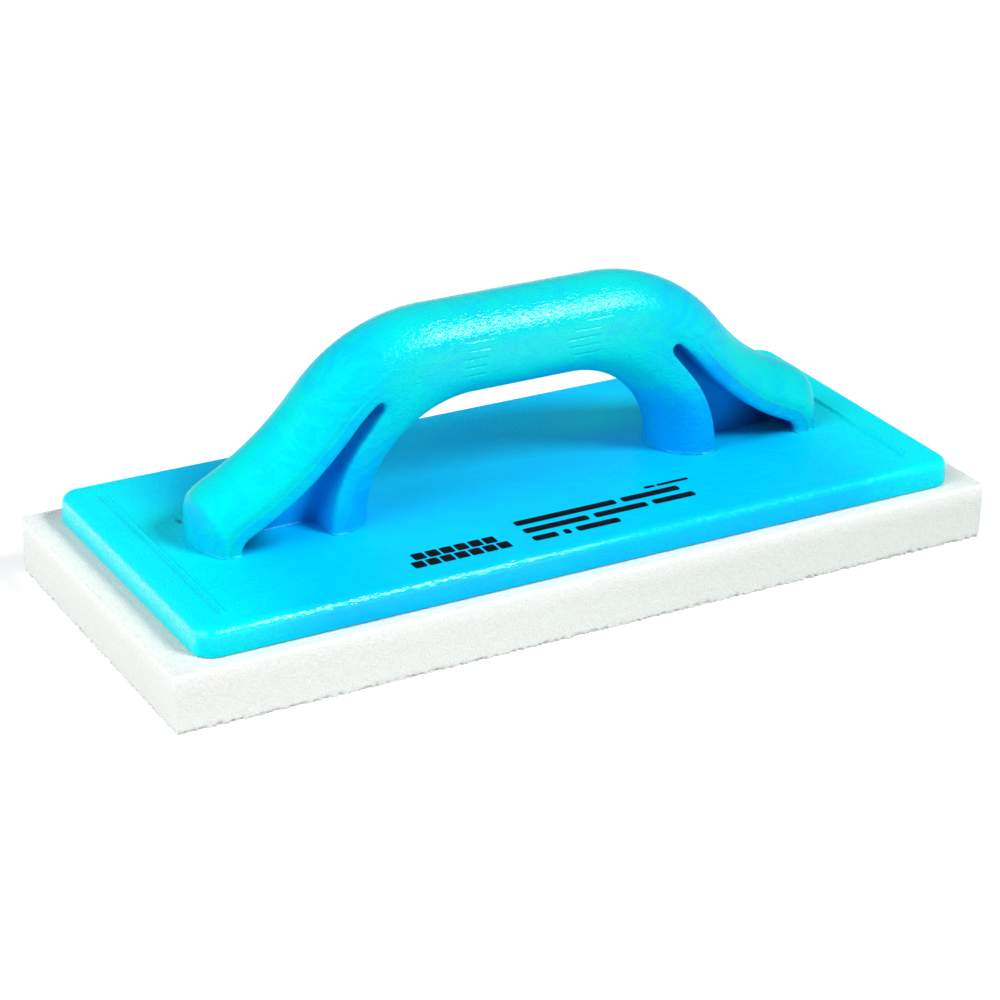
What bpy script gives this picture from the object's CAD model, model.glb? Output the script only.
"""Looks of the sponge float: moulded handle and plate, foam pad, glue line and printed marks.

Lengths are in metres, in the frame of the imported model.
"""
import math

import bmesh
import bpy
import numpy as np
import openvdb
from mathutils import Matrix, Vector, noise


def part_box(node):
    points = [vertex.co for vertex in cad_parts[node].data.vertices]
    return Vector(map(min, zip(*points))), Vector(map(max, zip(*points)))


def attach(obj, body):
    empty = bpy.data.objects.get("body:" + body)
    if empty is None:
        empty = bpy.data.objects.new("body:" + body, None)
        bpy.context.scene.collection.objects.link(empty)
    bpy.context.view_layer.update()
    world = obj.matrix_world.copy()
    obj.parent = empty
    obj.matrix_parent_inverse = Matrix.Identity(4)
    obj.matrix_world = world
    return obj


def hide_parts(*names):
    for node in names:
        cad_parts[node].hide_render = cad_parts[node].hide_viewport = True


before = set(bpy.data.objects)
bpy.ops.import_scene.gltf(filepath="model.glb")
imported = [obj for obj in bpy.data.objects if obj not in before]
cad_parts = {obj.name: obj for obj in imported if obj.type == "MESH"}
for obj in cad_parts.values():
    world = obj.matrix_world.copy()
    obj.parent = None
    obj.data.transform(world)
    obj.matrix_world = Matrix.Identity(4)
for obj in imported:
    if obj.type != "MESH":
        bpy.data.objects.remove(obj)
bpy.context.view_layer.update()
MM = 0.001

PLATE_LOW, PLATE_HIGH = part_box("base_plate")
GRIP_LOW, GRIP_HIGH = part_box("grip")
SPONGE_LOW, SPONGE_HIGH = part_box("sponge_pad")
PLATE_TOP = PLATE_HIGH.z
HANDLE_X = (GRIP_LOW.x + GRIP_HIGH.x) / 2

# The D-shaped bar that the handle is made of, as in the CAD source
BAR_W = GRIP_HIGH.y - GRIP_LOW.y
BAR_T = 15.8 * MM
BAR_LAND = 3 * MM
CROWN_RISE = BAR_T - BAR_LAND
CROWN_R = ((BAR_W / 2) ** 2 + CROWN_RISE ** 2) / (2 * CROWN_RISE)
GRIP_MID = GRIP_HIGH.z - BAR_T
GRIP_HALF = 31 * MM

# Curves in the handle's plane, from its middle down, as (radius or None, end angle or length)
STRAP_BACK = [(None, GRIP_HALF), (44.2 * MM, 48.5), (None, 6.5 * MM), (-105.8 * MM, 29), (None, 6 * MM),
              (5.9 * MM, 90), (None, 40 * MM)]
LEG_BACK = [(None, GRIP_HALF), (28 * MM, 50), (None, 14.5 * MM), (45.5 * MM, 90), (None, 40 * MM)]
LEG_FRONT = [(None, 18 * MM), (38 * MM, 50), (None, 1.55 * MM), (29.7 * MM, 90), (None, 40 * MM)]

# How much further out than the left foot the right foot stands
RIGHT_FOOT_EXTRA = 2.6 * MM

# Round top end of the slot between strap and leg: distance out, height, radius, slope
SLOT_END = (56 * MM, 69.4 * MM, 2.35 * MM, math.radians(42))


# ---------------------------------------------------------------- distance fields

def smooth_max(a, b, k):
    """The larger of two distances, with the corner between them rounded over a width k."""
    h = np.clip(0.5 + 0.5 * (a - b) / k, 0, 1)
    return b + (a - b) * h + k * h * (1 - h)


def smooth_min(a, b, k):
    """The smaller of two distances, with the corner between them rounded over a width k."""
    return -smooth_max(-a, -b, k)


def smooth_step(x, low, high):
    """0 below low, 1 above high, and a smooth rise between them."""
    t = np.clip((x - low) / (high - low), 0, 1)
    return t * t * (3 - 2 * t)


def bell(x, centre, width):
    """Smooth bump of height 1 round a centre."""
    return np.exp(-((x - centre) / width) ** 2)


def right_half(x):
    """0 on the left half of the float, 1 on the right half."""
    return smooth_step(x, -20 * MM, 20 * MM)


def distance_out(x):
    """Distance from the handle's middle along the float; the right foot stands a little further out."""
    across = x - HANDLE_X
    return np.abs(across) - RIGHT_FOOT_EXTRA * smooth_step(across, 88 * MM, 114 * MM)


def above_path(path, start, x, z):
    """Signed distance above a path of lines and arcs that starts level at x = 0 and a start height.

    A line is (None, length). An arc is (radius, end angle): it steepens for a positive radius and
    flattens for a negative one. Angles are degrees below the horizontal.
    """
    px, pz, fall = 0.0, start, 0.0
    best = np.full(np.broadcast(x, z).shape, np.inf)
    signed = np.zeros_like(best)
    for radius, value in path:
        nx, nz = math.sin(fall), math.cos(fall)
        if radius is None:
            u, v = (x - px) * nz - (z - pz) * nx, (x - px) * nx + (z - pz) * nz
            gap = np.hypot(u - np.clip(u, 0, value), v)
            side = np.sign(v)
            px, pz = px + value * nz, pz - value * nx
        else:
            end = math.radians(value)
            cx, cz = px - radius * nx, pz - radius * nz
            turn = math.copysign(1, radius)
            angle = np.arctan2(turn * (x - cx), turn * (z - cz))
            near = np.clip(angle, min(fall, end), max(fall, end))
            gap = np.hypot(x - cx - radius * np.sin(near), z - cz - radius * np.cos(near))
            side = turn * np.sign(np.hypot(x - cx, z - cz) - abs(radius))
            px, pz, fall = cx + radius * math.sin(end), cz + radius * math.cos(end), end
        closer = gap < best - 1e-9
        best = np.where(closer, gap, best)
        signed = np.where(closer, side * gap, signed)
    return signed


# The straps' flat edges and the small step above them, the pockets between strap and leg, the feet
STRAP_LAND = 3.6 * MM
LAND_STEP = 0.7 * MM
POCKET_EDGE = 1.3 * MM
SLOT_ROUND = 2.6 * MM
TOE_ROUND = 6 * MM
WEB_T = 2.5 * MM
DRAFT = 0.06
FOOT_FILLET = 0.9 * MM
NOSE_X = 115.3 * MM
NOSE_R = 24.6 * MM
KNEE_ROUND = 1.2 * MM
SKIRT_DEPTH = 0.4 * MM


def bar_outside(h, y, step, edge_round):
    """Distance outside a bar's sides and crown, h being the height above its flat back."""
    wide = BAR_W / 2 - step * smooth_step(h, STRAP_LAND - 0.15 * MM, STRAP_LAND + 0.35 * MM)
    sides = np.abs(y) - wide
    crown = np.hypot(y, np.maximum(h - (BAR_T - CROWN_R), 0)) - CROWN_R
    return smooth_max(sides, crown, edge_round)


def engraved_marks():
    """Straight grooves on the grip's front and back, as (x, angle, x, angle, width, depth)."""
    marks = []
    left = [(-25.4, -14.8), (-24, -16.5), (-25.6, -17.2), (-25.2, -18.2), (-24.8, -18)]
    right = [(20, 29.6), (15, 24.6), (12.2, 24.3), (13.2, 23.9), (15.2, 24.8)]
    for row in range(5):
        angle = 65 + 11.5 * row
        for x0, x1 in (left[row], right[row]):
            marks.append((x0, angle, x1, angle, 0.28, 0.4))
    for x0, a0, x1, a1 in ((10.2, 82, 15, 117), (-13, 70, -17, 117), (29.6, 68, 25.4, 110)):
        marks.append((x0, a0, x1, a1, 0.3, 0.09))
    return marks


MARKS = engraved_marks()


def mark_distance(x, y, z, mark):
    """Distance over the grip's surface to one engraved mark."""
    angle = np.arctan2(np.abs(y), z - GRIP_MID)
    u, v = x - HANDLE_X, angle * BAR_W / 2
    x0, a0, x1, a1 = mark[:4]
    p0 = np.array([x0 * MM, math.radians(a0) * BAR_W / 2])
    p1 = np.array([x1 * MM, math.radians(a1) * BAR_W / 2])
    along = p1 - p0
    t = np.clip(((u - p0[0]) * along[0] + (v - p0[1]) * along[1]) / along.dot(along), 0, 1)
    return np.hypot(u - p0[0] - t * along[0], v - p0[1] - t * along[1])


def handle_envelope(x, y, z):
    """Distance outside the handle's outer skin, as if its pockets were filled. Negative inside."""
    out = distance_out(x)
    upper = above_path(STRAP_BACK, GRIP_MID, out, z)
    leg_height = BAR_T - above_path(LEG_FRONT, GRIP_MID - BAR_T, out, z)
    strap = smooth_step(out, 48 * MM, 64 * MM)
    edge_round = (2.5 - 2.4 * strap) * MM
    crown = bar_outside(upper, y, LAND_STEP * strap, edge_round)
    nose = np.hypot(np.maximum(out - NOSE_X + NOSE_R, 0), y) - NOSE_R
    knee = 0.6 * MM + KNEE_ROUND * smooth_step(-np.abs(y), -14.5 * MM, -10 * MM)
    crown = smooth_max(crown, nose, knee)
    return np.maximum(crown, bar_outside(leg_height, y, 0, edge_round + 0.4 * MM))


def handle_field(x, y, z, marks=()):
    """Distance outside the handle, with its small fillets onto the plate. Negative inside."""
    out = distance_out(x)
    upper = above_path(STRAP_BACK, GRIP_MID, out, z)
    lower = -above_path(LEG_BACK, GRIP_MID, out, z)
    deep = np.abs(y)
    draft = DRAFT * (deep - 14 * MM)
    web = WEB_T / 2 - deep
    end_x, end_z, end_r, slope = SLOT_END
    slot_end = np.hypot(out - end_x, z - end_z) - end_r - draft
    past_end = (out - end_x) * math.cos(slope) - (z - end_z) * math.sin(slope)
    wedge = smooth_max(upper - draft, lower - draft, 0.6 * MM)
    slot = smooth_min(slot_end, smooth_max(wedge, -past_end, 0.5 * MM), 0.5 * MM)
    low_down = smooth_step(-z, -58 * MM, -PLATE_TOP)
    under_strap = smooth_max(upper - draft, web, SLOT_ROUND + (TOE_ROUND - SLOT_ROUND) * low_down)
    pocket = smooth_max(slot, under_strap, SLOT_ROUND)
    body = smooth_max(handle_envelope(x, y, z), -pocket, POCKET_EDGE)
    for mark in marks:
        width, depth = mark[4] * MM, mark[5] * MM
        body = body + depth * np.exp(-(mark_distance(x, y, z, mark) / width) ** 2)
    joined = smooth_min(body, z - PLATE_TOP, FOOT_FILLET)
    return np.maximum(np.maximum(joined, PLATE_TOP - SKIRT_DEPTH - z), body - 0.93 * FOOT_FILLET)


def settle(field, points, reach, steps=3):
    """Move points onto the surface where a field is zero, by a few Newton steps."""
    delta = 0.01 * MM
    for _ in range(steps):
        here = field(*points.T)
        slope = np.stack([field(*(points + delta * np.eye(3)[i]).T) - here for i in range(3)], 1) / delta
        size = np.maximum((slope ** 2).sum(1), 0.2)
        points = points + np.clip(-(here / size)[:, None] * slope, -reach, reach)
    return points


def field_mesh(name, field, low, high, cell):
    """Mesh of the surface where a field is zero."""
    axes = [np.arange(a, b + cell, cell) for a, b in zip(low, high)]
    x, y, z = np.meshgrid(*axes, indexing="ij", sparse=True)
    values = np.broadcast_to(field(x, y, z), [len(a) for a in axes])
    width = 3 * cell
    grid = openvdb.FloatGrid(width)
    grid.copyFromArray(np.clip(values, -width, width).astype(np.float32))
    points, quads = grid.convertToQuads()
    points = points.astype(float) * cell + np.array([a[0] for a in axes])
    return mesh_object(name, settle(field, points, 0.5 * cell), quads[:, ::-1])


def refine(piece, near, field, cuts, reach):
    """Subdivide the faces whose centres are near a detail, and move the points onto the field again."""
    mesh = bmesh.new()
    mesh.from_mesh(piece.data)
    centres = np.array([face.calc_center_median() for face in mesh.faces])
    wanted = near(*centres.T)
    faces = [face for face, want in zip(mesh.faces, wanted) if want]
    edges = list({edge for face in faces for edge in face.edges})
    bmesh.ops.subdivide_edges(mesh, edges=edges, cuts=cuts, use_grid_fill=True)
    mesh.verts.ensure_lookup_table()
    points = np.array([v.co for v in mesh.verts])
    moving = near(*points.T)
    points[moving] = settle(field, points[moving], reach)
    for vert, point in zip(mesh.verts, points):
        vert.co = point
    for face in mesh.faces:
        face.smooth = True
    mesh.to_mesh(piece.data)
    mesh.free()
    piece.data.update()


def near_crease(x, y, z):
    """Where the step along the straps' sides, and around their feet, needs smaller faces."""
    height = above_path(STRAP_BACK, GRIP_MID, distance_out(x), z)
    return ((np.abs(height - STRAP_LAND) < 0.9 * MM) & (np.abs(y) > BAR_W / 2 - 1.5 * MM)
            & (distance_out(x) > 50 * MM))


def near_marks(x, y, z):
    """Where the grip's engraved marks need smaller faces."""
    close = np.zeros(np.shape(x), bool)
    for mark in MARKS:
        close |= mark_distance(x, y, z, mark) < 1.1 * MM
    return close & (z > GRIP_MID - BAR_T - 1 * MM) & (np.abs(y) > 4 * MM)


def mesh_object(name, points, faces):
    """New object in the scene, shaded smooth."""
    mesh = bpy.data.meshes.new(name)
    mesh.from_pydata([tuple(p) for p in points], [], [tuple(int(i) for i in f) for f in faces])
    mesh.validate()
    mesh.update()
    mesh.polygons.foreach_set("use_smooth", [True] * len(mesh.polygons))
    piece = bpy.data.objects.new(name, mesh)
    bpy.context.scene.collection.objects.link(piece)
    return piece


# ---------------------------------------------------------------- rounded slabs

def outline(half_l, half_w, radius, xs, ys, corner_n):
    """Points round a rectangle with round corners: corner centre or side point, direction out, radius.

    The straight sides have points at the positions xs and ys, which run from end to end.
    """
    points = []
    cx, cy = half_l - radius, half_w - radius
    sides = [([(cx, y) for y in ys], 0), ([(x, cy) for x in xs[::-1]], 90),
             ([(-cx, y) for y in ys[::-1]], 180), ([(x, -cy) for x in xs], 270)]
    for side, start in sides:
        a = math.radians(start)
        points += [(x, y, math.cos(a), math.sin(a)) for x, y in side]
        x, y = side[-1]
        for i in range(1, corner_n):
            a = math.radians(start + 90 * i / corner_n)
            points.append((x, y, math.cos(a), math.sin(a)))
    return np.array(points)


def grid_cells(nx, ny, step):
    """Faces over a grid of points, step points apart, which keep every point on the grid's rim."""
    def edge(a, b, fixed, count, across):
        run = range(a, b, 1 if b > a else -1) if fixed in (0, count - 1) else [a]
        return [fixed * nx + i if across else i * nx + fixed for i in run]

    for j in range(0, ny - 1, step):
        for i in range(0, nx - 1, step):
            yield (edge(i, i + step, j, ny, True) + edge(j, j + step, i + step, nx, False)
                   + edge(i + step, i, j + step, ny, True) + edge(j + step, j, i, nx, False))


def slab(name, centre, half_l, half_w, radius, profile, xs, ys, corner_n, step, shape):
    """Closed slab: an outline swept through a profile of (inset, height) up to an inset of radius.

    The flat bottom and top are grids of the positions xs and ys, step positions apart. shape moves
    all the points at the end.
    """
    caps = (profile[0][1], profile[-1][1])
    line = outline(half_l, half_w, radius, xs, ys, corner_n)
    n = len(line)
    rings = [np.column_stack([line[:, :2] + (radius - inset) * line[:, 2:4], np.full(n, height)])
             for inset, height in profile]
    faces = []
    for k in range(len(rings) - 1):
        for i in range(n):
            j = (i + 1) % n
            faces.append((k * n + i, k * n + j, (k + 1) * n + j, (k + 1) * n + i))
    points = np.concatenate(rings)
    for height, top in zip(caps, (False, True)):
        start = len(points)
        gx, gy = np.meshgrid(xs, ys)
        points = np.concatenate([points, np.column_stack([gx.ravel(), gy.ravel(), np.full(gx.size, height)])])
        for face in grid_cells(len(xs), len(ys), step):
            face = [start + i for i in face]
            faces.append(face if top else face[::-1])
    mesh = bmesh.new()
    verts = [mesh.verts.new(p) for p in points]
    for face in faces:
        mesh.faces.new([verts[i] for i in face])
    bmesh.ops.remove_doubles(mesh, verts=mesh.verts, dist=0.01 * MM)
    moved = shape(np.array([v.co for v in mesh.verts]))
    for vert, point in zip(mesh.verts, moved + np.array([centre[0], centre[1], 0])):
        vert.co = point
    for face in mesh.faces:
        face.smooth = True
    data = bpy.data.meshes.new(name)
    mesh.to_mesh(data)
    mesh.free()
    piece = bpy.data.objects.new(name, data)
    bpy.context.scene.collection.objects.link(piece)
    return piece


def rounded_edge(inset, height, radius, start, end, steps):
    """Profile points of a rounded edge about a centre, angles measured from outwards to up."""
    points = []
    for i in range(steps + 1):
        a = math.radians(start + (end - start) * i / steps)
        points.append((inset - radius * math.cos(a), height + radius * math.sin(a)))
    return points


def spread(low, high, spacing, fine=()):
    """Positions from low to high, closer together in the fine spans (from, to, spacing)."""
    values = set()
    for a, b, gap in [(low, high, spacing)] + list(fine):
        count = max(1, math.ceil((b - a) / gap))
        values.update(round(a + (b - a) * i / count, 6) for i in range(count + 1))
    ordered = sorted(values)
    kept = [ordered[0]]
    for value in ordered[1:]:
        if value - kept[-1] > 0.08 * MM:
            kept.append(value)
    kept[-1] = ordered[-1]
    return kept


def even(half, spacing, multiple):
    """Evenly spaced positions from -half to half, their gaps a multiple of some number."""
    count = multiple * math.ceil(2 * half / spacing / multiple)
    return [half * (2 * i / count - 1) for i in range(count + 1)]


def bumpiness(points, scale, seed):
    """Smooth noise from -1 to 1 at each point, with features 1 / scale across."""
    shift = Vector((seed * 17.3, seed * 5.1, seed * 9.7))
    return np.array([noise.noise(Vector(p) * scale + shift) for p in points])


# The ribs near the short ends, with a groove on the left of each, and the dent beside the left foot
RIB_X = 127.3 * MM
RIB_END = 47 * MM
GROOVE_GAP = 1.4 * MM
DENT = (-113 * MM, 17 * MM)


def beside_rib(x, width):
    """1 in the middle of the groove beside each rib, and 0 away from it."""
    return bell(x, np.sign(x) * RIB_X - GROOVE_GAP, width)


def in_dent(x, y):
    """1 in the middle of the dent, and 0 away from it."""
    return bell(x, DENT[0], 0.9 * MM) * bell(y, DENT[1], 1.4 * MM)


def plate_shape(points):
    """Fine ribs near the short ends, a dent beside the left foot, and a slightly uneven moulded top."""
    x, y, z = points.T
    half = smooth_step(z, PLATE_HIGH.z - 1 * MM, PLATE_HIGH.z - 0.2 * MM)
    ends = smooth_step(-np.abs(y), -RIB_END - 0.4 * MM, -RIB_END + 0.4 * MM)
    rib = (0.5 * MM * bell(np.abs(x), RIB_X, 0.6 * MM) - 0.3 * MM * beside_rib(x, 0.7 * MM)) * ends
    dent = 0.6 * MM * in_dent(x, y)
    waves = 0.035 * MM * (1 + bumpiness(points, 45, 1))
    moved = points.copy()
    moved[:, 2] += half * (rib - dent - waves)
    return moved


def make_plate():
    """Plate with a rounded top edge, and points set close together where its small details are."""
    low, high = PLATE_LOW, PLATE_HIGH
    top_r, bottom_r, radius = 3 * MM, 0.35 * MM, 7 * MM
    draft = 0.25 * MM
    half_l, half_w = (high.x - low.x) / 2, (high.y - low.y) / 2
    profile = [(radius, low.z), (3 * MM, low.z)]
    profile += rounded_edge(bottom_r, low.z + bottom_r, bottom_r, -90, 0, 5)
    profile += rounded_edge(top_r + draft, high.z - top_r, top_r, 0, 90, 12)
    profile += [(4.5 * MM, high.z), (radius, high.z)]
    end_x, end_y = half_l - radius, half_w - radius
    fine_x = [(side * RIB_X - 2.6 * MM, side * RIB_X + 2.6 * MM, 0.2 * MM) for side in (-1, 1)]
    fine_y = [(side * RIB_END - 0.6 * MM, side * RIB_END + 0.6 * MM, 0.3 * MM) for side in (-1, 1)]
    for side in (-1, 1):
        fine_x.append((side * 94 * MM - 14 * MM, side * 94 * MM + 14 * MM, 1.5 * MM))
        fine_y.append((side * 12 * MM - 5 * MM, side * 12 * MM + 5 * MM, 1 * MM))
    fine_x.append((DENT[0] - 3 * MM, DENT[0] + 3 * MM, 0.5 * MM))
    fine_y.append((DENT[1] - 4 * MM, DENT[1] + 4 * MM, 0.5 * MM))
    return slab("plate_moulding", (low + high) / 2, half_l, half_w, radius, profile,
                spread(-end_x, end_x, 4 * MM, fine_x), spread(-end_y, end_y, 4 * MM, fine_y), 14,
                1, plate_shape)


SPONGE_CORNER = 1.3 * MM


def sponge_shape(points):
    """Open foam: uneven cut faces, small pits, and lower edges that crumble."""
    low, high = SPONGE_LOW, SPONGE_HIGH
    half_l, half_w = (high.x - low.x) / 2, (high.y - low.y) / 2
    inner = np.column_stack([np.clip(points[:, 0], -half_l + SPONGE_CORNER, half_l - SPONGE_CORNER),
                             np.clip(points[:, 1], -half_w + SPONGE_CORNER, half_w - SPONGE_CORNER)])
    outward = points[:, :2] - inner
    reach = np.hypot(*outward.T)
    on_side = smooth_step(reach, 0.1 * MM, 0.8 * MM)
    direction = outward / np.maximum(reach, 1e-6)[:, None]
    large = bumpiness(points, 70, 2)
    pits = bumpiness(points, 1000, 3)
    grains = bumpiness(points, 480, 4)
    bottom = smooth_step(-points[:, 2], -low.z - 1.8 * MM, -low.z - 0.2 * MM)
    depth = 0.07 * MM * (0.5 + large) + 0.2 * MM * pits + 0.1 * MM * grains
    crumble = np.maximum(0.4 * grains, 0) + 1.3 * np.maximum(pits + 0.1, 0)
    depth = np.maximum(depth + bottom * (0.1 + 1.1 * crumble) * MM, 0) * on_side
    moved = points.copy()
    moved[:, :2] -= direction * depth[:, None]
    moved[:, 2] += 1.4 * MM * crumble * on_side * (points[:, 2] < low.z + 0.6 * MM)
    top = smooth_step(points[:, 2], high.z - 0.8 * MM, high.z - 0.1 * MM)
    rim = np.minimum(half_l - np.abs(points[:, 0]) - 10 * MM, half_w - np.abs(points[:, 1]) - 5 * MM)
    moved[:, 2] -= top * smooth_step(-rim, 0, 2 * MM) * 0.22 * MM * np.maximum(0.5 + pits + grains, 0)
    return moved


def make_sponge():
    """Foam pad, its sides and its top's edge made of small cells."""
    low, high = SPONGE_LOW, SPONGE_HIGH
    half_l, half_w = (high.x - low.x) / 2, (high.y - low.y) / 2
    radius = SPONGE_CORNER
    end_x, end_y = half_l - radius, half_w - radius
    cell, edge, rim = 0.63 * MM, 0.45 * MM, 1.25 * MM
    rings = round((high.z - low.z - edge - rim) / cell)
    profile = [(radius, low.z), (edge, low.z)]
    profile += rounded_edge(edge, low.z + edge, edge, -90, 0, 3)[1:]
    profile += [(0, low.z + edge + (high.z - low.z - edge - rim) * i / rings) for i in range(1, rings)]
    profile += rounded_edge(rim, high.z - rim, rim, 0, 90, 4)
    profile += [(radius, high.z)]
    return slab("foam_pad", (low + high) / 2, half_l, half_w, radius, profile,
                even(end_x, cell, 2), even(end_y, cell, 2), 3, 2, sponge_shape)


# ---------------------------------------------------------------- materials

def new_material(name):
    """New material, its node tree and its shader."""
    material = bpy.data.materials.new(name)
    material.use_nodes = True
    tree = material.node_tree
    shader = tree.nodes["Principled BSDF"]
    return material, tree, shader


def painted(nodes, name):
    """Value of one of the numbers that are painted on a mesh."""
    node = nodes.new("ShaderNodeAttribute")
    node.attribute_name = name
    return node.outputs["Fac"]


def polymer(name, teal, azure, grain, gloss, swirls, spangles):
    """Marbled polymer: teal and azure streams that never quite mixed, with a fine moulded grain.

    The mesh's attributes say where it turns azure, where it's shiny, where it's scuffed pale, and
    where it's deep blue.
    """
    material, tree, shader = new_material(name)
    nodes, links = tree.nodes, tree.links

    def noise_at(scale, detail, distortion, stretch):
        mapping = nodes.new("ShaderNodeMapping")
        mapping.inputs["Scale"].default_value = stretch
        links.new(place.outputs["Object"], mapping.inputs["Vector"])
        texture = nodes.new("ShaderNodeTexNoise")
        texture.inputs["Scale"].default_value = scale
        texture.inputs["Detail"].default_value = detail
        texture.inputs["Distortion"].default_value = distortion
        links.new(mapping.outputs["Vector"], texture.inputs["Vector"])
        return texture.outputs["Fac"]

    def remap(value, low, high, new_low, new_high):
        node = nodes.new("ShaderNodeMapRange")
        node.interpolation_type = "SMOOTHSTEP"
        limits = {"From Min": low, "From Max": high, "To Min": new_low, "To Max": new_high}
        for socket, number in limits.items():
            node.inputs[socket].default_value = number
        links.new(value, node.inputs["Value"])
        return node.outputs["Result"]

    def combine(operation, a, b):
        node = nodes.new("ShaderNodeMath")
        node.operation = operation
        for socket, value in zip(node.inputs, (a, b)):
            if isinstance(value, (int, float)):
                socket.default_value = value
            else:
                links.new(value, socket)
        return node.outputs["Value"]

    place = nodes.new("ShaderNodeTexCoord")
    area, shiny, scuffed, deep = [painted(nodes, label) for label in ("azure", "shiny", "scuffed", "deep")]
    swirl = remap(noise_at(18, 2, 2.4, (1, 1, 1)), 0.3, 0.7, -swirls, swirls)
    streaks = remap(noise_at(34, 1, 6.0, (0.6, 1, 1)), 0.47, 0.53, -0.6 * swirls, 0.6 * swirls)
    speckle = noise_at(1300, 2, 0, (1, 1, 1))
    spangle = remap(speckle, 0.4, 0.6, -spangles, spangles)
    spangle = combine("MULTIPLY", spangle, combine("SUBTRACT", 1.05, area))
    amount = nodes.new("ShaderNodeClamp")
    streams = combine("ADD", combine("ADD", area, swirl), combine("ADD", streaks, spangle))
    links.new(streams, amount.inputs["Value"])
    mix = nodes.new("ShaderNodeMix")
    mix.data_type = "RGBA"
    mix.inputs["A"].default_value = (*teal, 1)
    mix.inputs["B"].default_value = (*azure, 1)
    links.new(amount.outputs["Result"], mix.inputs["Factor"])
    specks = combine("MULTIPLY", remap(speckle, 0.45, 0.62, 0.12, 1), scuffed)
    worn = nodes.new("ShaderNodeMix")
    worn.data_type = "RGBA"
    links.new(specks, worn.inputs["Factor"])
    links.new(mix.outputs["Result"], worn.inputs["A"])
    worn.inputs["B"].default_value = (0.36, 0.76, 0.60, 1)
    dark = nodes.new("ShaderNodeMix")
    dark.data_type = "RGBA"
    links.new(deep, dark.inputs["Factor"])
    links.new(worn.outputs["Result"], dark.inputs["A"])
    dark.inputs["B"].default_value = (0, 0.03, 0.2, 1)
    links.new(dark.outputs["Result"], shader.inputs["Base Color"])

    fine = noise_at(2600, 1, 0.3, (0.8, 1, 1))
    peel = noise_at(980, 1, 0.8, (0.6, 1, 1))
    patches = remap(noise_at(16, 1, 0, (1, 1, 1)), 0.35, 0.65, 0.25, 1.0)
    coarse = combine("MULTIPLY", peel, combine("MAXIMUM", patches, shiny))
    height = combine("ADD", coarse, combine("MULTIPLY", fine, 0.15))
    bump = nodes.new("ShaderNodeBump")
    bump.inputs["Strength"].default_value = grain
    bump.inputs["Distance"].default_value = 0.9 * MM
    links.new(height, bump.inputs["Height"])
    links.new(bump.outputs["Normal"], shader.inputs["Normal"])
    rough = combine("SUBTRACT", remap(peel, 0.3, 0.7, 0.36, 0.44), combine("MULTIPLY", shiny, 0.3))
    links.new(rough, shader.inputs["Roughness"])
    level = combine("ADD", combine("MULTIPLY", shiny, 0.6), gloss)
    links.new(level, shader.inputs["Specular IOR Level"])
    tint = nodes.new("ShaderNodeMix")
    tint.data_type = "RGBA"
    tint.inputs["A"].default_value = (0.03, 0.95, 1, 1)
    tint.inputs["B"].default_value = (0.55, 1, 1, 1)
    links.new(shiny, tint.inputs["Factor"])
    links.new(tint.outputs["Result"], shader.inputs["Specular Tint"])
    shader.inputs["IOR"].default_value = 1.45
    return material


def foam():
    """Open-cell foam, greyer where it's painted worn."""
    material, tree, shader = new_material("sponge_foam")
    nodes, links = tree.nodes, tree.links
    place = nodes.new("ShaderNodeTexCoord")
    cells = nodes.new("ShaderNodeTexVoronoi")
    cells.inputs["Scale"].default_value = 1400
    links.new(place.outputs["Object"], cells.inputs["Vector"])
    ramp = nodes.new("ShaderNodeValToRGB")
    ramp.color_ramp.elements[0].position = 0.05
    ramp.color_ramp.elements[0].color = (0.73, 0.74, 0.715, 1)
    ramp.color_ramp.elements[1].position = 0.3
    ramp.color_ramp.elements[1].color = (0.79, 0.80, 0.77, 1)
    mottle = nodes.new("ShaderNodeTexNoise")
    mottle.inputs["Scale"].default_value = 700
    mottle.inputs["Detail"].default_value = 3
    links.new(place.outputs["Object"], mottle.inputs["Vector"])
    pore = nodes.new("ShaderNodeMath")
    pore.operation = "MULTIPLY"
    links.new(cells.outputs["Distance"], pore.inputs[0])
    links.new(mottle.outputs["Fac"], pore.inputs[1])
    links.new(pore.outputs["Value"], ramp.inputs["Fac"])
    tint = nodes.new("ShaderNodeMix")
    tint.data_type = "RGBA"
    tint.blend_type = "MULTIPLY"
    links.new(painted(nodes, "worn"), tint.inputs["Factor"])
    links.new(ramp.outputs["Color"], tint.inputs["A"])
    tint.inputs["B"].default_value = (0.60, 0.63, 0.615, 1)
    links.new(tint.outputs["Result"], shader.inputs["Base Color"])
    bump = nodes.new("ShaderNodeBump")
    bump.inputs["Strength"].default_value = 0.7
    bump.inputs["Distance"].default_value = 0.3 * MM
    links.new(cells.outputs["Distance"], bump.inputs["Height"])
    links.new(bump.outputs["Normal"], shader.inputs["Normal"])
    shader.inputs["Roughness"].default_value = 0.95
    return material


def mottled(name, dark, light, scale, roughness, gloss):
    """Plain coat whose colour wavers a little between two shades."""
    material, tree, shader = new_material(name)
    nodes, links = tree.nodes, tree.links
    place = nodes.new("ShaderNodeTexCoord")
    texture = nodes.new("ShaderNodeTexNoise")
    texture.inputs["Scale"].default_value = scale
    texture.inputs["Detail"].default_value = 2
    links.new(place.outputs["Object"], texture.inputs["Vector"])
    ramp = nodes.new("ShaderNodeValToRGB")
    for element, position, colour in zip(ramp.color_ramp.elements, (0.35, 0.65), (dark, light)):
        element.position = position
        element.color = (*colour, 1)
    links.new(texture.outputs["Fac"], ramp.inputs["Fac"])
    links.new(ramp.outputs["Color"], shader.inputs["Base Color"])
    shader.inputs["Roughness"].default_value = roughness
    shader.inputs["Specular IOR Level"].default_value = gloss
    return material


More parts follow.
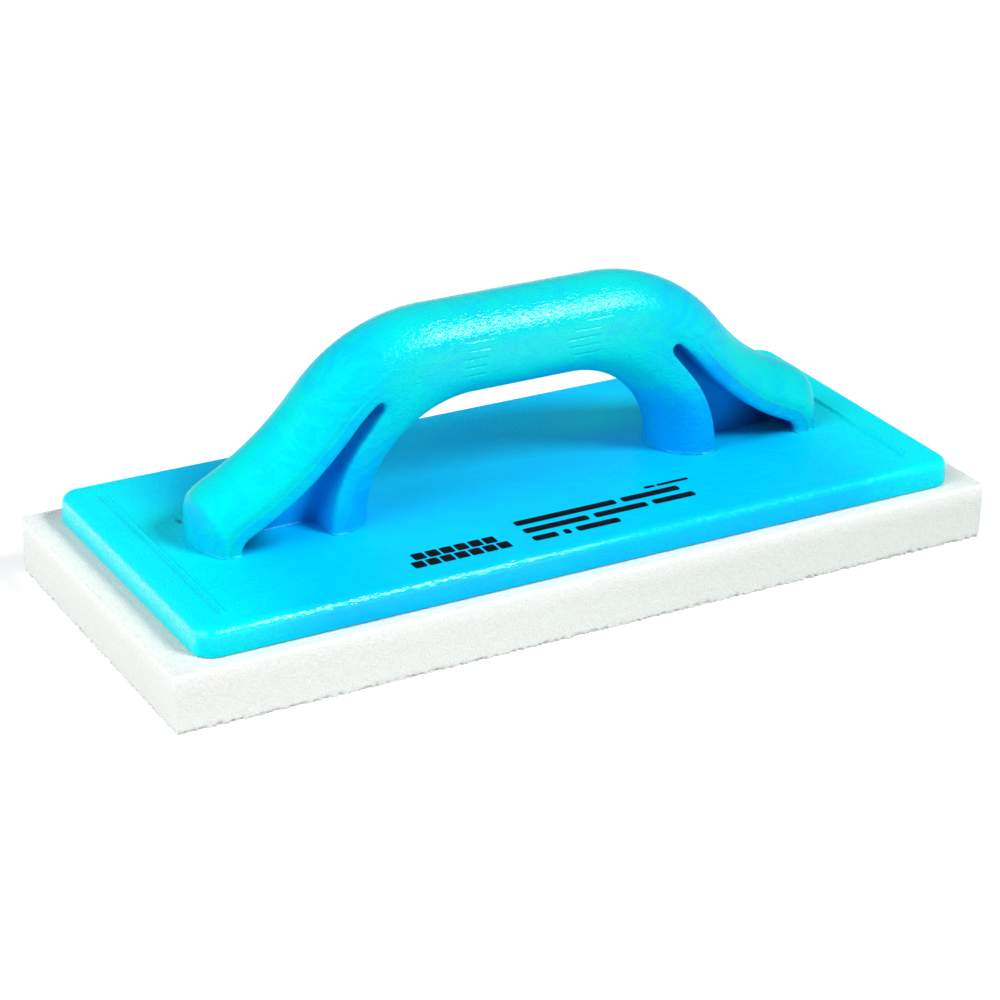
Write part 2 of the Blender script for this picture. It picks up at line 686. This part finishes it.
def give(piece, material):
    """Make a material the only one of a piece."""
    piece.data.materials.clear()
    piece.data.materials.append(material)


def paint(piece, name, values):
    """Store a number from 0 to 1 at each of a piece's points, for its material."""
    layer = piece.data.attributes.new(name, "FLOAT", "POINT")
    layer.data.foreach_set("value", np.clip(values, 0, 1).astype(np.float32))


def points_of(piece):
    """The x, y and z of all of a piece's points."""
    return np.array([v.co for v in piece.data.vertices]).T


def in_pocket(x, y, z):
    """How far inside the handle's pockets a point is, from 0 at the outer skin to 1."""
    return smooth_step(-handle_envelope(x, y, z), 0.8 * MM, 3.5 * MM)


def handle_azure(x, y, z):
    """How azure the handle is: its legs, pockets, noses and the lands of its straps, right side more."""
    out, right = distance_out(x), right_half(x)
    height = above_path(STRAP_BACK, GRIP_MID, out, z)
    leg = smooth_step(-height, 3 * MM, 14 * MM) * smooth_step(-z - 0.5 * (out - 50 * MM), -68 * MM, -42 * MM)
    from_nose_centre = np.hypot(np.maximum(out - NOSE_X + NOSE_R, 0), y)
    nose = smooth_step(from_nose_centre, NOSE_R - 1.5 * MM, NOSE_R - 0.2 * MM)
    nose = nose * smooth_step(-z, -46 * MM, -42 * MM)
    land = smooth_step(-height, -STRAP_LAND - 0.2 * MM, -STRAP_LAND + 0.2 * MM)
    land = land * smooth_step(out, 58 * MM, 70 * MM)
    amount = np.maximum((0.42 + 0.15 * right) * nose, (0.32 + 0.25 * right) * land)
    amount = np.maximum((0.43 + 0.42 * right) * leg, amount)
    elbow = smooth_step(out, 42 * MM, 56 * MM) * smooth_step(-out, -86 * MM, -70 * MM)
    return 0.03 + np.maximum(amount, 1.15 * in_pocket(x, y, z)) + (0.36 - 0.08 * right) * elbow


def handle_deep(x, y, z):
    """How deep blue the handle is: inside its pockets, most of all behind the toes, and the right strap."""
    out, right = distance_out(x), right_half(x)
    behind_toe = smooth_step(out, 80 * MM, 100 * MM) * smooth_step(-z, -50 * MM, -38 * MM)
    strap = smooth_step(out, 62 * MM, 80 * MM)
    height = above_path(STRAP_BACK, GRIP_MID, out, z)
    crease = bell(height, STRAP_LAND, 0.3 * MM) * smooth_step(np.abs(y), 12 * MM, 13.5 * MM)
    pocket = in_pocket(x, y, z) * (0.14 * right + 0.75 * behind_toe)
    return pocket + (0.09 * right + 0.25 * crease) * strap


def handle_shiny(x, z):
    """How shiny the handle is: the top of its grip, and a fine line where its feet meet the plate."""
    grip = smooth_step(z, 68 * MM, 86 * MM) * smooth_step(-np.abs(x + 4 * MM), -66 * MM, -30 * MM)
    foot_line = smooth_step(-z, -PLATE_TOP - 0.9 * MM, -PLATE_TOP - 0.3 * MM)
    return 0.8 * grip + 0.35 * foot_line


def teal_patch(x, y):
    """The teal patch on the plate, under the grip."""
    return bell(x, 50 * MM, 28 * MM) * bell(y, 26 * MM, 13 * MM)


def plate_azure(x, y):
    """How azure the plate is: most of it, fading to teal at the ends and in the patch."""
    return 0.95 - 0.85 * smooth_step(np.abs(x), 88 * MM, 135 * MM) - 0.5 * teal_patch(x, y)


def plate_shiny(x, z):
    """How shiny the plate is: its rounded top edge, most of all on the left."""
    edge = smooth_step(-z, -PLATE_TOP + 0.1 * MM, -PLATE_TOP + 0.5 * MM)
    edge = edge * smooth_step(z, PLATE_TOP - 4 * MM, PLATE_TOP - 2 * MM)
    return edge * (0.15 + 0.85 * smooth_step(-x, -20 * MM, 30 * MM))


def plate_scuffed(x, y, z):
    """How scuffed the plate is: its left end, but for a clean strip at the bottom."""
    end = smooth_step(-x, 139 * MM, 139.6 * MM)
    clean = smooth_step(-z, -PLATE_LOW.z - 2.4 * MM, -PLATE_LOW.z - 1.2 * MM)
    return 0.55 * end * (1 - clean) + 0.04 * teal_patch(x, y)


def plate_deep(x, y, z):
    """How deep blue the plate is: in the handle's pockets, its front side, the dent and the grooves."""
    out, right = distance_out(x), right_half(x)
    pocket = smooth_step(out, (86 - 12 * right) * MM, 101 * MM) * smooth_step(-out, -108 * MM, -104 * MM)
    pocket = pocket * smooth_step(-np.abs(y), -15.5 * MM, -9 * MM)
    side = smooth_step(-z, -PLATE_TOP + 2 * MM, -PLATE_TOP + 3.2 * MM) * smooth_step(-y, 50 * MM, 56 * MM)
    groove = beside_rib(x, 0.8 * MM) * smooth_step(-np.abs(y), -RIB_END, -RIB_END + 1 * MM)
    return 0.75 * pocket + 0.15 * side + 0.7 * in_dent(x, y) + 0.14 * groove


def sponge_worn(x, y, z):
    """How worn the foam is: its sides, more to the right, and the dirty specks of its lower edge."""
    below_top = smooth_step(SPONGE_HIGH.z - z, -2 * MM, 8 * MM)
    end = smooth_step(-x, 148 * MM, 149.5 * MM)
    worn = 0.08 + below_top * (0.3 + 0.25 * smooth_step(x, -80 * MM, 150 * MM) + 0.04 * end)
    specks = bumpiness(np.array([x, y, z]).T, 900, 5) > 0
    grime = smooth_step(-z, -0.9 * MM, -0.3 * MM) * (1 - end) * specks
    return np.maximum(worn, grime)


# ---------------------------------------------------------------- pieces

def build_handle():
    handle = field_mesh("handle_moulding", handle_field,
                        (HANDLE_X - 126 * MM, -20 * MM, PLATE_TOP - 1.5 * MM),
                        (HANDLE_X + 126 * MM, 20 * MM, GRIP_HIGH.z + 1.5 * MM), 0.8 * MM)
    refine(handle, near_crease, handle_field, 1, 0.3 * MM)
    refine(handle, near_marks, lambda x, y, z: handle_field(x, y, z, MARKS), 3, 0.4 * MM)
    x, y, z = points_of(handle)
    paint(handle, "azure", handle_azure(x, y, z))
    paint(handle, "deep", handle_deep(x, y, z))
    paint(handle, "shiny", handle_shiny(x, z))
    give(handle, polymer("handle_polymer", teal=(0, 0.64, 0.63), azure=(0, 0.35, 0.82), grain=0.4,
                         gloss=0.26, swirls=0.13, spangles=0.05))
    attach(handle, "root")
    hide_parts("grip", "left_strap", "right_strap", "left_leg", "right_leg", "left_web", "right_web")


def build_plate():
    plate = make_plate()
    x, y, z = points_of(plate)
    paint(plate, "azure", plate_azure(x, y))
    paint(plate, "shiny", plate_shiny(x, z))
    paint(plate, "scuffed", plate_scuffed(x, y, z))
    paint(plate, "deep", plate_deep(x, y, z))
    give(plate, polymer("plate_polymer", teal=(0, 0.77, 0.80), azure=(0, 0.51, 0.87), grain=0.35,
                        gloss=0.16, swirls=0.05, spangles=0.2))
    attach(plate, "root")
    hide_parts("base_plate")


def build_sponge():
    sponge = make_sponge()
    paint(sponge, "worn", sponge_worn(*points_of(sponge)))
    give(sponge, foam())
    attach(sponge, "root")
    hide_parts("sponge_pad")


def coat_cad_nodes():
    """Materials for the pieces that are shown as the CAD made them."""
    ink = mottled("ink", (0.001, 0.0015, 0.002), (0.004, 0.005, 0.007), 700, 0.7, 0.12)
    glue = mottled("adhesive", (0.58, 0.56, 0.44), (0.72, 0.69, 0.55), 300, 0.6, 0.3)
    for name, coat in (("printed_emblem", ink), ("printed_bars", ink), ("adhesive_film", glue)):
        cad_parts[name].material_slots[0].material = coat


# ---------------------------------------------------------------- camera, light and floor

def make_camera():
    """Camera fitted to the view of the object: it looks at a point beside the origin, with a slight roll."""
    azimuth, elevation, roll = (math.radians(a) for a in (-30.43, 25.35, 1.62))
    back = Vector((math.sin(azimuth) * math.cos(elevation), -math.cos(azimuth) * math.cos(elevation),
                   math.sin(elevation)))
    right = Vector((0, 0, 1)).cross(back).normalized()
    up = back.cross(right)
    right, up = (right * math.cos(roll) + up * math.sin(roll), up * math.cos(roll) - right * math.sin(roll))
    place = back * 0.9941 - right * 3.83 * MM + up * 17.82 * MM
    camera = bpy.data.objects.new("camera", bpy.data.cameras.new("camera"))
    camera.data.lens = 106.4
    camera.data.sensor_width = 36
    camera.data.clip_start = 0.01
    camera.matrix_world = Matrix.Translation(place) @ Matrix((right, up, back)).transposed().to_4x4()
    bpy.context.scene.collection.objects.link(camera)
    bpy.context.scene.camera = camera


def soft_sun(name, towards, spread_angle, strength):
    """Far soft light. towards points from the object to the light."""
    light = bpy.data.objects.new(name, bpy.data.lights.new(name, "SUN"))
    light.data.angle = math.radians(spread_angle)
    light.data.energy = strength
    light.rotation_euler = Vector(towards).to_track_quat("Z", "Y").to_euler()
    bpy.context.scene.collection.objects.link(light)


def make_studio():
    """Pale floor that gives off a little light, a faint pale sky, and two wide soft suns."""
    floor = mesh_object("floor", [(-4, -4, 0), (4, -4, 0), (4, 4, 0), (-4, 4, 0)], [(0, 1, 2, 3)])
    material, _, shader = new_material("floor")
    shader.inputs["Base Color"].default_value = (0.5, 0.5, 0.5, 1)
    shader.inputs["Roughness"].default_value = 0.9
    shader.inputs["Emission Color"].default_value = (1, 1, 1, 1)
    shader.inputs["Emission Strength"].default_value = 0.55
    give(floor, material)
    world = bpy.data.worlds.new("studio")
    bpy.context.scene.world = world
    world.use_nodes = True
    sky = world.node_tree.nodes["Background"]
    sky.inputs["Color"].default_value = (0.84, 1, 1.16, 1)
    sky.inputs["Strength"].default_value = 0.18
    soft_sun("key", (0.457, -0.56, 0.69), 20, 0.89 * math.pi)
    soft_sun("fill", (-0.84, -0.12, 0.53), 50, 0.87 * math.pi)
    bpy.context.scene.view_settings.view_transform = "Standard"


build_handle()
build_plate()
build_sponge()
coat_cad_nodes()
make_camera()
make_studio()
